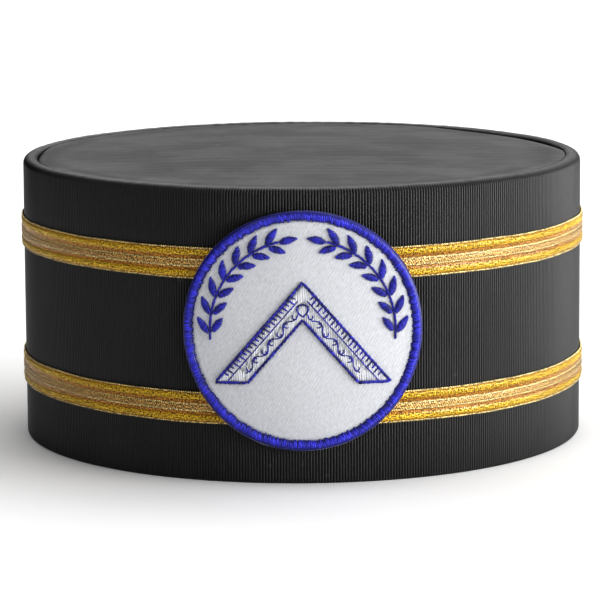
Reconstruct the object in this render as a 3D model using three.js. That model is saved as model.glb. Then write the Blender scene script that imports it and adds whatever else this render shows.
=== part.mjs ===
// A stiff crown cap: an upright oval band of ribbed black cloth, a flat top panel sewn inside its
// rolled rim, two gold braids round the band and a round embroidered patch at the front.
// Millimetres, +Z up, the front faces -Y, and the origin is at the middle of the base.
import * as THREE from "three";

// Clearance between two pieces that touch on the real cap.
const SEAT_GAP = 0.3;

// The band: its oval outside, its wall, and the rim and hem that its cloth is folded into.
const CAP_WIDTH = 187;
const CAP_LENGTH = 200;
const CAP_HEIGHT = 93;
const BAND_WALL = 2.6;
const HEM_ROUND = 0.8;
const RIM_ROUND = 2.2;
const RIM_WIDTH = 4.8;
const RIM_THICKNESS = 2.8;
const SEAM_DEPTH = 1.5;

// The top panel, which the seam draws down all round. Its crown stands over the rim.
const PANEL_THICKNESS = 2.4;
const PANEL_SHOULDER_WIDTH = 9;
const PANEL_SHOULDER_DROP = 0.5;
const PANEL_CROWN = 0.8;

// The two braids: how far the middle of the upper one is below the rim, and of the lower one above
// the hem.
const BRAID_WIDTH = 10;
const BRAID_THICKNESS = 1;
const UPPER_BRAID_DROP = 23.8;
const LOWER_BRAID_RISE = 23.4;

// The patch. Its middle is a little over the middle of the two braids, and it is stiffer than the
// band, so it bends on a radius that is larger by PATCH_SPRING.
const PATCH_DIAMETER = 76;
const PATCH_RAISE = 2.5;
const PATCH_SPRING = 13;
const GROUND_THICKNESS = 1.2;
const BORDER_WIDTH = 3.5;
const BORDER_THICKNESS = 2.4;
const EMBROIDERY_THICKNESS = 0.6;

// The embroidered square: its apex and feet from the patch's middle, the width of its limbs, and
// how far its feet stay inside the twill's edge.
const SQUARE_APEX = 15.4;
const SQUARE_FOOT_DROP = 16.4;
const SQUARE_LIMB_WIDTH = 7.7;
const SQUARE_MARGIN = 2.4;

// The two embroidered branches, which curve up from the patch's sides and almost meet at the top.
const BRANCH_START = THREE.MathUtils.degToRad(-6);
const BRANCH_TIP_GAP = 3;
const BRANCH_MARGIN = 1.3;
const STEM_WIDTH = 0.9;
const LEAF_LENGTH = 6;
const LEAF_WIDTH = 2.3;
const LEAF_BASE = 0.7;
const LEAF_GAP = 0.9;
const LEAF_SPREAD = THREE.MathUtils.degToRad(36);

// Facets round the oval, round the patch, along a limb, and in each quarter arc of a section.
const OVAL_SEGMENTS = 64;
const PATCH_SEGMENTS = 48;
const LIMB_SEGMENTS = 8;
const ARC_STEPS = 4;

// A braid's face: cords along both edges, a groove beside each, and a raised middle. The columns
// are shares of the braid's width and thickness.
const BRAID_FACE = [
  { across: 0, rise: 0.45 },
  { across: 0.06, rise: 1 },
  { across: 0.22, rise: 0.95 },
  { across: 0.3, rise: 0.6 },
  { across: 0.4, rise: 0.85 },
  { across: 0.6, rise: 0.85 },
  { across: 0.7, rise: 0.6 },
  { across: 0.78, rise: 0.95 },
  { across: 0.94, rise: 1 },
  { across: 1, rise: 0.45 },
];

// The panel's upper face, from its middle to its shoulder: the share of the way out, and the share
// of the rise from the shoulder to the crown.
const PANEL_FACE = [
  { out: 0, rise: 1 },
  { out: 0.35, rise: 0.88 },
  { out: 0.7, rise: 0.52 },
  { out: 1, rise: 0 },
];

// Where the rings of the patch's twill lie, as shares of its radius. They let it bend.
const GROUND_RINGS = [0, 0.25, 0.5, 0.75, 1];

// Places and sizes that follow from those above.
const HALF_WIDTH = CAP_WIDTH / 2;
const HALF_LENGTH = CAP_LENGTH / 2;
const SEAM_HEIGHT = CAP_HEIGHT - SEAM_DEPTH;
const PANEL_INSET = RIM_WIDTH + SEAT_GAP;
const UPPER_BRAID_HEIGHT = CAP_HEIGHT - UPPER_BRAID_DROP;
const PATCH_HEIGHT = (UPPER_BRAID_HEIGHT + LOWER_BRAID_RISE) / 2 + PATCH_RAISE;
const PATCH_BACK = 2 * SEAT_GAP + BRAID_THICKNESS;
const FRONT_CURVE = HALF_WIDTH ** 2 / HALF_LENGTH;
const PATCH_CURVE = FRONT_CURVE + PATCH_BACK + PATCH_SPRING;
const GROUND_RADIUS = PATCH_DIAMETER / 2 - BORDER_WIDTH - SEAT_GAP;
const EMBROIDERY_LIFT = GROUND_THICKNESS + SEAT_GAP;
const LEAF_REACH = STEM_WIDTH / 2 + LEAF_LENGTH * Math.sin(LEAF_SPREAD);
const BRANCH_RADIUS = GROUND_RADIUS - BRANCH_MARGIN - LEAF_REACH;
const BRANCH_END = Math.PI / 2 - (LEAF_LENGTH + BRANCH_TIP_GAP / 2) / BRANCH_RADIUS;

const cloth = new THREE.MeshStandardMaterial({ color: 0x1c1c1e, roughness: 0.75, metalness: 0 });
const gold = new THREE.MeshStandardMaterial({ color: 0xc9922a, roughness: 0.4, metalness: 0.7 });
const twill = new THREE.MeshStandardMaterial({ color: 0xd9dbe0, roughness: 0.8, metalness: 0 });
const blue = new THREE.MeshStandardMaterial({ color: 0x2f28b0, roughness: 0.5, metalness: 0 });
const white = new THREE.MeshStandardMaterial({ color: 0xe9eaee, roughness: 0.5, metalness: 0 });

// The point of the band's outer oval at an angle, moved inwards square to the oval.
function ovalPoint(angle, inset) {
  const point = new THREE.Vector2(HALF_WIDTH * Math.cos(angle), HALF_LENGTH * Math.sin(angle));
  const outward = new THREE.Vector2(HALF_LENGTH * Math.cos(angle), HALF_WIDTH * Math.sin(angle));
  return point.addScaledVector(outward.normalize(), -inset);
}

// A round stretch of a section, from one angle to another about a centre, in degrees.
function arc(centreX, centreY, radiusX, radiusY, from, to) {
  const start = THREE.MathUtils.degToRad(from);
  const end = THREE.MathUtils.degToRad(to);
  const curve = new THREE.EllipseCurve(centreX, centreY, radiusX, radiusY, start, end, to < from);
  return curve.getPoints(ARC_STEPS);
}

// Sweeps a closed section round the oval. Its points are (inset from the band's face, height).
function sweepRoundOval(section) {
  const points = [...section, section[0]];
  const geometry = new THREE.LatheGeometry(points, OVAL_SEGMENTS);
  const position = geometry.getAttribute("position");
  for (let segment = 0; segment <= OVAL_SEGMENTS; segment++) {
    const angle = (segment / OVAL_SEGMENTS) * 2 * Math.PI;
    points.forEach(({ x: inset, y: height }, i) => {
      const { x, y } = ovalPoint(angle, inset);
      position.setXYZ(segment * points.length + i, x, y, height);
    });
  }
  return geometry;
}

// The band: a straight wall, the rim that rolls over its top down to the seam, and the hem.
function bandGeometry() {
  const rimUnderside = CAP_HEIGHT - RIM_THICKNESS;
  const section = [
    ...arc(HEM_ROUND, HEM_ROUND, HEM_ROUND, HEM_ROUND, 270, 180),
    ...arc(RIM_ROUND, CAP_HEIGHT - RIM_ROUND, RIM_ROUND, RIM_ROUND, 180, 90),
    ...arc(RIM_ROUND, SEAM_HEIGHT, RIM_WIDTH - RIM_ROUND, SEAM_DEPTH, 90, 0).slice(1),
    new THREE.Vector2(RIM_WIDTH, rimUnderside),
    new THREE.Vector2(BAND_WALL, rimUnderside - (RIM_WIDTH - BAND_WALL)),
    ...arc(BAND_WALL - HEM_ROUND, HEM_ROUND, HEM_ROUND, HEM_ROUND, 0, -90),
  ];
  return sweepRoundOval(section);
}

// A braid, its face turned outwards and its middle at the height given.
function braidGeometry(height) {
  const bottom = height - BRAID_WIDTH / 2;
  const back = [bottom + BRAID_WIDTH, bottom].map((z) => new THREE.Vector2(-SEAT_GAP, z));
  const face = BRAID_FACE.map(({ across, rise }) => {
    const inset = -SEAT_GAP - rise * BRAID_THICKNESS;
    return new THREE.Vector2(inset, bottom + across * BRAID_WIDTH);
  });
  return sweepRoundOval([...face, ...back]);
}

// The top panel: a low crown and a rounded shoulder that dips into the seam, of even thickness.
// Its section is (share of the way out to the panel's edge, height).
function panelGeometry() {
  const shoulder = 1 - PANEL_SHOULDER_WIDTH / HALF_WIDTH;
  const shoulderHeight = CAP_HEIGHT - PANEL_SHOULDER_DROP;
  const crownRise = PANEL_CROWN + PANEL_SHOULDER_DROP;
  const crown = PANEL_FACE.map(({ out, rise }) => {
    return new THREE.Vector2(out * shoulder, shoulderHeight + rise * crownRise);
  });
  const dip = arc(shoulder, SEAM_HEIGHT, 1 - shoulder, shoulderHeight - SEAM_HEIGHT, 90, 0);
  const face = [...crown, ...dip.slice(1)];
  const underside = face.map(({ x, y }) => new THREE.Vector2(x, y - PANEL_THICKNESS));
  const section = [...underside, ...face.reverse()];
  const geometry = new THREE.LatheGeometry(section, OVAL_SEGMENTS);
  const position = geometry.getAttribute("position");
  for (let segment = 0; segment <= OVAL_SEGMENTS; segment++) {
    const edge = ovalPoint((segment / OVAL_SEGMENTS) * 2 * Math.PI, PANEL_INSET);
    section.forEach(({ x: out, y: height }, i) => {
      position.setXYZ(segment * section.length + i, edge.x * out, edge.y * out, height);
    });
  }
  return geometry;
}

// Bends a piece that was laid out flat on the patch: x along it, y up it, z out from its back.
function bendRoundPatch(geometry) {
  const position = geometry.getAttribute("position");
  const axisY = PATCH_CURVE - HALF_LENGTH - PATCH_BACK;
  for (let i = 0; i < position.count; i++) {
    const angle = position.getX(i) / PATCH_CURVE;
    const radius = PATCH_CURVE + position.getZ(i);
    const height = PATCH_HEIGHT + position.getY(i);
    position.setXYZ(i, radius * Math.sin(angle), axisY - radius * Math.cos(angle), height);
  }
  return geometry;
}

// The patch's twill disc.
function groundGeometry() {
  const back = GROUND_RINGS.map((share) => new THREE.Vector2(share * GROUND_RADIUS, 0));
  const front = back.map(({ x }) => new THREE.Vector2(x, GROUND_THICKNESS));
  const geometry = new THREE.LatheGeometry([...back, ...front.reverse()], PATCH_SEGMENTS);
  return bendRoundPatch(geometry.rotateX(Math.PI / 2));
}

// The overlocked border: an oval section swept round the patch's edge.
function borderGeometry() {
  const centre = (PATCH_DIAMETER - BORDER_WIDTH) / 2;
  const steps = 2 * ARC_STEPS;
  const section = [];
  for (let i = 0; i <= steps; i++) {
    const turn = (2 * Math.PI * (i % steps)) / steps;
    const out = centre + (BORDER_WIDTH / 2) * Math.cos(turn);
    section.push(new THREE.Vector2(out, (BORDER_THICKNESS / 2) * (1 + Math.sin(turn))));
  }
  const geometry = new THREE.LatheGeometry(section, PATCH_SEGMENTS);
  return bendRoundPatch(geometry.rotateX(Math.PI / 2));
}

// The square: two limbs of one width that meet at the apex, cut off level at their feet.
function squareGeometry() {
  const halfSpread = Math.sqrt((GROUND_RADIUS - SQUARE_MARGIN) ** 2 - SQUARE_FOOT_DROP ** 2);
  const slope = Math.atan2(SQUARE_APEX + SQUARE_FOOT_DROP, halfSpread);
  const innerSpread = halfSpread - SQUARE_LIMB_WIDTH / Math.sin(slope);
  const innerApex = SQUARE_APEX - SQUARE_LIMB_WIDTH / Math.cos(slope);
  const geometry = new THREE.BoxGeometry(2, 1, EMBROIDERY_THICKNESS, 2 * LIMB_SEGMENTS, 1, 1);
  const position = geometry.getAttribute("position");
  const lift = EMBROIDERY_LIFT + EMBROIDERY_THICKNESS / 2;
  for (let i = 0; i < position.count; i++) {
    const along = position.getX(i);
    const outwards = position.getY(i) + 0.5;
    const spread = THREE.MathUtils.lerp(innerSpread, halfSpread, outwards);
    const apex = THREE.MathUtils.lerp(innerApex, SQUARE_APEX, outwards);
    const height = THREE.MathUtils.lerp(apex, -SQUARE_FOOT_DROP, Math.abs(along));
    position.setXYZ(i, along * spread, height, position.getZ(i) + lift);
  }
  return bendRoundPatch(geometry);
}

// Adds one leaf to a branch's outline: from its root on the stem to its tip, and back to the stem.
function addLeaf(outline, root, growth, end) {
  const middle = root.clone().addScaledVector(growth, LEAF_LENGTH / 2);
  const tip = root.clone().addScaledVector(growth, LEAF_LENGTH);
  const sideways = new THREE.Vector2(-growth.y, growth.x).multiplyScalar(LEAF_WIDTH);
  const right = middle.clone().sub(sideways);
  const left = middle.clone().add(sideways);
  outline.quadraticCurveTo(right.x, right.y, tip.x, tip.y);
  outline.quadraticCurveTo(left.x, left.y, end.x, end.y);
}

// A branch's outline while it is straight: a stem along +X, leaves in pairs, and one at its tip.
function branchOutline() {
  const length = BRANCH_RADIUS * (BRANCH_END - BRANCH_START);
  const edge = STEM_WIDTH / 2;
  const pairs = Math.floor(length / (LEAF_LENGTH * Math.cos(LEAF_SPREAD) + LEAF_GAP));
  const roots = Array.from({ length: pairs }, (_, i) => ((i + 0.3) * length) / pairs);
  const forwards = new THREE.Vector2(1, 0);
  const rightwards = forwards.clone().rotateAround(new THREE.Vector2(), -LEAF_SPREAD);
  const leftwards = forwards.clone().rotateAround(new THREE.Vector2(), LEAF_SPREAD);
  const outline = new THREE.Shape();
  outline.moveTo(0, -edge);
  for (const along of roots) {
    const root = new THREE.Vector2(along, -edge);
    outline.lineTo(root.x, root.y);
    addLeaf(outline, root, rightwards, new THREE.Vector2(along + LEAF_BASE, -edge));
  }
  outline.lineTo(length, -edge);
  addLeaf(outline, new THREE.Vector2(length, 0), forwards, new THREE.Vector2(length, edge));
  for (const along of roots.reverse()) {
    const root = new THREE.Vector2(along + LEAF_BASE, edge);
    outline.lineTo(root.x, root.y);
    addLeaf(outline, root, leftwards, new THREE.Vector2(along, edge));
  }
  outline.lineTo(0, edge);
  return outline.getPoints(ARC_STEPS);
}

// A branch, curved round the patch's middle: side 1 is the right one and -1 the left one.
function branchGeometry(side) {
  const curved = branchOutline().map(({ x: along, y: across }) => {
    const angle = BRANCH_START + along / BRANCH_RADIUS;
    const radius = BRANCH_RADIUS - across;
    return new THREE.Vector2(side * radius * Math.cos(angle), radius * Math.sin(angle));
  });
  const relief = { depth: EMBROIDERY_THICKNESS, bevelEnabled: false };
  const geometry = new THREE.ExtrudeGeometry(new THREE.Shape(curved), relief);
  return bendRoundPatch(geometry.translate(0, 0, EMBROIDERY_LIFT));
}

function piece(name, geometry, material) {
  const mesh = new THREE.Mesh(geometry, material);
  mesh.name = name;
  return mesh;
}

const cap = new THREE.Group();
cap.add(piece("side_band", bandGeometry(), cloth));
cap.add(piece("top_panel", panelGeometry(), cloth));
cap.add(piece("upper_braid", braidGeometry(UPPER_BRAID_HEIGHT), gold));
cap.add(piece("lower_braid", braidGeometry(LOWER_BRAID_RISE), gold));

const patch = new THREE.Group();
patch.add(piece("patch_ground", groundGeometry(), twill));
patch.add(piece("patch_border", borderGeometry(), blue));
patch.add(piece("patch_square", squareGeometry(), white));
patch.add(piece("patch_branch_left", branchGeometry(-1), blue));
patch.add(piece("patch_branch_right", branchGeometry(1), blue));
cap.add(patch);

// The patch reaches further forwards than the braids reach back, so the cap stands a little back
// and the origin is at the middle of the whole.
const frontReach = PATCH_BACK + BORDER_THICKNESS;
const backReach = SEAT_GAP + BRAID_THICKNESS;
cap.position.y = (frontReach - backReach) / 2;

export default cap;
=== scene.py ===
"""The looks of a stiff crown cap: ribbed black cloth over an oval band and a flat top, two gold braids,
and a round embroidered patch at the front. Metres, +Z up, and the cap's front faces -Y."""

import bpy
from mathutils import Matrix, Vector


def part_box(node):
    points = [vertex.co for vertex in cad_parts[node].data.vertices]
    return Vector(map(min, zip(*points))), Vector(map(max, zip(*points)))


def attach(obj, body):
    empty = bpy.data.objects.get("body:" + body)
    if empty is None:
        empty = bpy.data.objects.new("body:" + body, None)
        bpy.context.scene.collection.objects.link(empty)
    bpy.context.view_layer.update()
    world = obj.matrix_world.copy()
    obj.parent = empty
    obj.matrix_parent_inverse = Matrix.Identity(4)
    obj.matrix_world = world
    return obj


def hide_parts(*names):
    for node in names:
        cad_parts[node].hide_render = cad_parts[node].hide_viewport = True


bl_info = {
    "name": "Crown Cap Finishes",
    "version": (1, 0, 0),
    "blender": (4, 5, 0),
    "location": "3D View > Sidebar > Crown Cap",
    "description": "Makes the cloth, braid and embroidery of a crown cap, and the stage it stands on",
    "category": "Add Mesh",
}

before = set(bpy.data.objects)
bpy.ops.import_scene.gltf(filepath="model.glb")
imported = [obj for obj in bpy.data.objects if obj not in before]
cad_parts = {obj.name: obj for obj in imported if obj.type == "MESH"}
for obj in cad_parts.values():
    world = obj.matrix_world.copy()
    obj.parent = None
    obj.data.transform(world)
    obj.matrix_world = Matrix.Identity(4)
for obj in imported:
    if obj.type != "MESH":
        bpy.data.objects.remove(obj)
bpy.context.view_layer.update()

import math
from collections import namedtuple

import bmesh
import bpy
import numpy as np
from mathutils import Euler, Vector

MM = 0.001
TURN = 2 * math.pi

# The band's outer oval and the panel's edge, as the frame has them.
BAND_LOW, BAND_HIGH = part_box("side_band")
PANEL_LOW, PANEL_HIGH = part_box("top_panel")
HALF_WIDTH = (BAND_HIGH.x - BAND_LOW.x) / 2
HALF_LENGTH = (BAND_HIGH.y - BAND_LOW.y) / 2
MIDDLE_Y = (BAND_HIGH.y + BAND_LOW.y) / 2
RIM_HEIGHT = BAND_HIGH.z

# The patch: its border gives its middle and size, and its ground the back that it bends on.
BORDER_LOW, BORDER_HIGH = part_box("patch_border")
GROUND_LOW, GROUND_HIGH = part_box("patch_ground")
SQUARE_LOW, SQUARE_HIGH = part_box("patch_square")
PATCH_RADIUS = (BORDER_HIGH.z - BORDER_LOW.z) / 2
PATCH_HEIGHT = (BORDER_HIGH.z + BORDER_LOW.z) / 2
GROUND_RADIUS = (GROUND_HIGH.z - GROUND_LOW.z) / 2

# The way round the band from the middle of its back: fine angles, how far along each one lies, and
# the whole girth.
FINE_ANGLES = np.linspace(0, TURN, 20001) + math.pi / 2
FINE_RUN = np.hypot(np.diff(HALF_WIDTH * np.cos(FINE_ANGLES)), np.diff(HALF_LENGTH * np.sin(FINE_ANGLES)))
ALONG_GIRTH = np.concatenate([[0], np.cumsum(FINE_RUN)])
GIRTH = ALONG_GIRTH[-1]


def length(name, millimetres, description):
    """A size that is shown as a length, with its default in millimetres."""
    return bpy.props.FloatProperty(
        name=name, description=description, default=millimetres * MM, min=0, precision=5, unit="LENGTH"
    )


def angle(name, degrees, description):
    """An angle, with its default in degrees."""
    return bpy.props.FloatProperty(
        name=name, description=description, default=math.radians(degrees), subtype="ANGLE"
    )


def colour(name, red, green, blue, description):
    """A colour in linear light."""
    return bpy.props.FloatVectorProperty(
        name=name, description=description, default=(red, green, blue), min=0, max=1, subtype="COLOR"
    )


def share(name, value, description):
    """A number from nought to one."""
    return bpy.props.FloatProperty(
        name=name, description=description, default=value, min=0, max=1, subtype="FACTOR"
    )


class ClothSettings(bpy.types.PropertyGroup):
    """The black cloth of the band and the top panel"""

    rib_pitch: length("Rib pitch", 0.93, "From one rib of the cloth to the next")
    rib_relief: length("Rib relief", 0.38, "How far a rib stands over the valley beside it")
    thread_pitch: length("Thread pitch", 0.34, "From one fine thread that crosses the ribs to the next")
    rim_round: length("Rim round", 2.2, "Radius of the rim's outer edge")
    rim_width: length("Rim width", 4.8, "From the band's face to the seam")
    rim_thickness: length("Rim thickness", 2.8, "Cloth folded together at the rim")
    seam_depth: length("Seam depth", 1.5, "How far the seam lies under the rim")
    seam_waver: length("Seam waver", 0.35, "How far the hand-sewn seam wanders")
    seam_open: share("Seam open", 0.24, "Share of the seam's depth that the panel leaves open all round")
    wall: length("Wall", 2.6, "Thickness of the band")
    hem_round: length("Hem round", 0.8, "Radius of the fold at the hem")
    panel_thickness: length("Panel thickness", 2.4, "Thickness of the top panel")
    shoulder_width: length("Shoulder width", 9.0, "How far in from its edge the panel dips to the seam")
    shoulder_drop: length("Shoulder drop", 0.5, "Depth of the panel's shoulder under the rim")
    gather_relief: length("Gather relief", 0.4, "Height of the gathers beside the seam")
    gather_reach: length("Gather reach", 3.5, "How far in from the seam the gathers fade")
    fold_relief: length("Fold relief", 0.13, "Height of the low folds in the panel")
    band_colour: colour("Band", 0.0042, 0.004, 0.0043, "The band's cloth")
    top_colour: colour("Top", 0.01, 0.01, 0.0103, "The top panel's cloth")


class BraidSettings(bpy.types.PropertyGroup):
    """The two gold braids"""

    solid_thickness: length("Plain thickness", 1.0, "Thickness of the plain braid that this stands for")
    thickness: length("Thickness", 0.6, "Thickness of a braid at its cords")
    tick_pitch: length("Tick pitch", 0.8, "From one slanting thread of the braid to the next")
    sway: length("Sway", 0.18, "How far a braid wanders up and down")
    edge_loops: length("Edge loops", 0.12, "How far the small loops stand out at both edges")
    yellow: colour("Yellow", 0.86, 0.57, 0.02, "The bright metal purl near both edges")
    orange: colour("Orange", 0.56, 0.26, 0.02, "The sunk satin stripes")
    pale: colour("Pale", 1.0, 0.82, 0.36, "The thin light cords")


class PatchSettings(bpy.types.PropertyGroup):
    """The round embroidered patch"""

    bend_radius: length("Bend radius", 102.02, "Radius that the patch's back bends on")
    ground_thickness: length("Ground thickness", 1.2, "Thickness of the twill")
    twill_pitch: length("Twill pitch", 1.7, "From one ridge of the twill to the next, up a steep climb")
    weft_pitch: length("Weft pitch", 0.3, "From one crossing thread of the twill to the next")
    border_width: length("Border width", 3.5, "Width of the overlocked border")
    border_thickness: length("Border thickness", 2.4, "Thickness of the overlocked border")
    stitch_pitch: length("Stitch pitch", 0.36, "From one embroidery thread to the next")
    limb_width: length("Limb width", 7.7, "Width of the square's limbs")
    rule_inset: length("Rule inset", 2.7, "From a limb's outer edge to the rule beside it")
    ruler_pitch: length("Ruler pitch", 1.45, "From one tick of the ruler to the next")
    long_tick: length("Long tick", 2.6, "Length of every other tick")
    short_tick: length("Short tick", 1.9, "Length of the ticks between")
    bold_line: length("Bold line", 0.85, "Width of the square's outline")
    fine_line: length("Fine line", 0.5, "Width of the ticks")
    hair_line: length("Hair line", 0.36, "Width of the rule and the scroll")
    stem_width: length("Stem width", 0.9, "Width of a branch's stem")
    leaf_length: length("Leaf length", 6.0, "Length of a leaf")
    leaf_width: length("Leaf width", 2.3, "Spread of the curves that a leaf's edges follow")
    leaf_base: length("Leaf base", 0.7, "How long a leaf's foot is along the stem")
    leaf_gap: length("Leaf gap", 0.9, "Least gap from one leaf to the next on a side")
    leaf_spread: angle("Leaf spread", 36, "From the stem to a leaf")
    branch_start: angle("Branch start", -6, "Where a branch's foot lies, from straight sideways")
    branch_tip_gap: length("Branch tip gap", 3.0, "Between the tips of the two branches")
    branch_margin: length("Branch margin", 1.3, "From the leaves' tips to the twill's edge")
    twill_colour: colour("Twill", 0.61, 0.62, 0.645, "The patch's ground")
    blue_colour: colour("Blue", 0.065, 0.065, 0.7, "The border, the branches and the drawn lines")
    white_colour: colour("White", 0.82, 0.83, 0.86, "The square's filling")


class StageSettings(bpy.types.PropertyGroup):
    """The floor, the lights and the camera"""

    camera_distance: length("Camera distance", 1194.0, "From the cap's middle to the camera, along the floor")
    camera_height: length("Camera height", 229.5, "Height of the camera over the floor")
    aim_height: length("Aim height", 46.4, "Height on the cap that the camera is aimed at")
    focal_length: bpy.props.FloatProperty(
        name="Focal length", description="Focal length in millimetres", default=213.96, unit="CAMERA"
    )
    roll: angle("Roll", -0.35, "Tilt of the camera")
    floor_reach: length("Floor reach", 6000.0, "How far the floor reaches each way")
    floor_colour: colour("Floor", 0.895, 0.895, 0.895, "The pale floor")


def arc(centre_x, centre_y, radius_x, radius_y, start, end, steps):
    """Points of a round stretch of a section, with its angles in degrees."""
    angles = np.radians(np.linspace(start, end, steps))
    return np.stack([centre_x + radius_x * np.cos(angles), centre_y + radius_y * np.sin(angles)], axis=-1)


def waver(turn, waves, seed):
    """A smooth wandering between -1 and 1 along a closed line, on which turn goes from 0 to 1."""
    generator = np.random.default_rng(seed)
    total = np.zeros_like(turn)
    for count in waves:
        total += generator.uniform(0.5, 1) * np.sin(TURN * (count * turn + generator.random()))
    return total / len(waves)


def girth_angles(along):
    """Angles round the oval at shares of the band's girth, from the middle of the back."""
    return np.interp(along * GIRTH, ALONG_GIRTH, FINE_ANGLES)


def oval_points(angles, inset, height):
    """Points round the band, moved inwards square to its face. The three values broadcast."""
    outward = np.stack([HALF_LENGTH * np.cos(angles), HALF_WIDTH * np.sin(angles)], axis=-1)
    outward /= np.linalg.norm(outward, axis=-1, keepdims=True)
    x = HALF_WIDTH * np.cos(angles) - inset * outward[..., 0]
    y = MIDDLE_Y + HALF_LENGTH * np.sin(angles) - inset * outward[..., 1]
    return np.stack([x, y, np.broadcast_to(height, x.shape)], axis=-1)


def bend_round_patch(flat):
    """Lays flat points on the patch: x along it, y up it, z out from its back."""
    patch = bpy.context.scene.cap_patch
    bend = flat[..., 0] / patch.bend_radius
    radius = patch.bend_radius + flat[..., 2]
    y = GROUND_LOW.y + patch.ground_thickness + patch.bend_radius - radius * np.cos(bend)
    return np.stack([radius * np.sin(bend), y, PATCH_HEIGHT + flat[..., 1]], axis=-1)


def circle_points(radius, angles, height):
    """Flat points on a ring of the patch, at a height over its back."""
    return np.stack(np.broadcast_arrays(radius * np.cos(angles), radius * np.sin(angles), height), axis=-1)


def grid_faces(rows, columns, close_rows=False, close_columns=False):
    """Quads of a grid of vertices, facing out where rows go up and columns go round to the left."""
    row = np.arange(rows if close_rows else rows - 1)
    column = np.arange(columns if close_columns else columns - 1)
    row, column = np.meshgrid(row, column, indexing="ij")
    next_row = (row + 1) % rows
    next_column = (column + 1) % columns
    corners = [(row, column), (row, next_column), (next_row, next_column), (next_row, column)]
    return np.stack([r * columns + c for r, c in corners], axis=-1).reshape(-1, 4)


def add_piece(name, nodes, points, faces, material, values):
    """A smooth-shaded piece on the cap, in the place of the plain nodes that it stands for. Values are
    what its material reads: a name, and numbers that broadcast over the points, or vectors like them."""
    mesh = bpy.data.meshes.new(name)
    mesh.from_pydata(points.reshape(-1, 3).tolist(), [], faces if isinstance(faces, list) else faces.tolist())
    for key, data in values.items():
        is_vector = data.shape == points.shape
        data = data if is_vector else np.broadcast_to(data, points.shape[:-1])
        attribute = mesh.attributes.new(key, "FLOAT_VECTOR" if is_vector else "FLOAT", "POINT")
        attribute.data.foreach_set("vector" if is_vector else "value", data.astype(np.float32).ravel())
    mesh.polygons.foreach_set("use_smooth", np.ones(len(mesh.polygons), dtype=bool))
    mesh.materials.append(material)
    mesh.update()
    piece = bpy.data.objects.new(name, mesh)
    bpy.context.scene.collection.objects.link(piece)
    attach(piece, "root")
    if nodes:
        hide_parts(*nodes)
    return piece


class Signal:
    """A socket in a material's node tree, on which arithmetic adds Math nodes."""

    def __init__(self, finish, socket):
        self.finish = finish
        self.socket = socket

    def math(self, operation, *values):
        return self.finish.node("ShaderNodeMath", {"operation": operation}, dict(enumerate(values)))

    def __add__(self, other):
        return self.math("ADD", self, other)

    def __sub__(self, other):
        return self.math("SUBTRACT", self, other)

    def __rsub__(self, other):
        return self.math("SUBTRACT", other, self)

    def __mul__(self, other):
        return self.math("MULTIPLY", self, other)

    def __truediv__(self, other):
        return self.math("DIVIDE", self, other)

    __radd__ = __add__
    __rmul__ = __mul__


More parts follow.
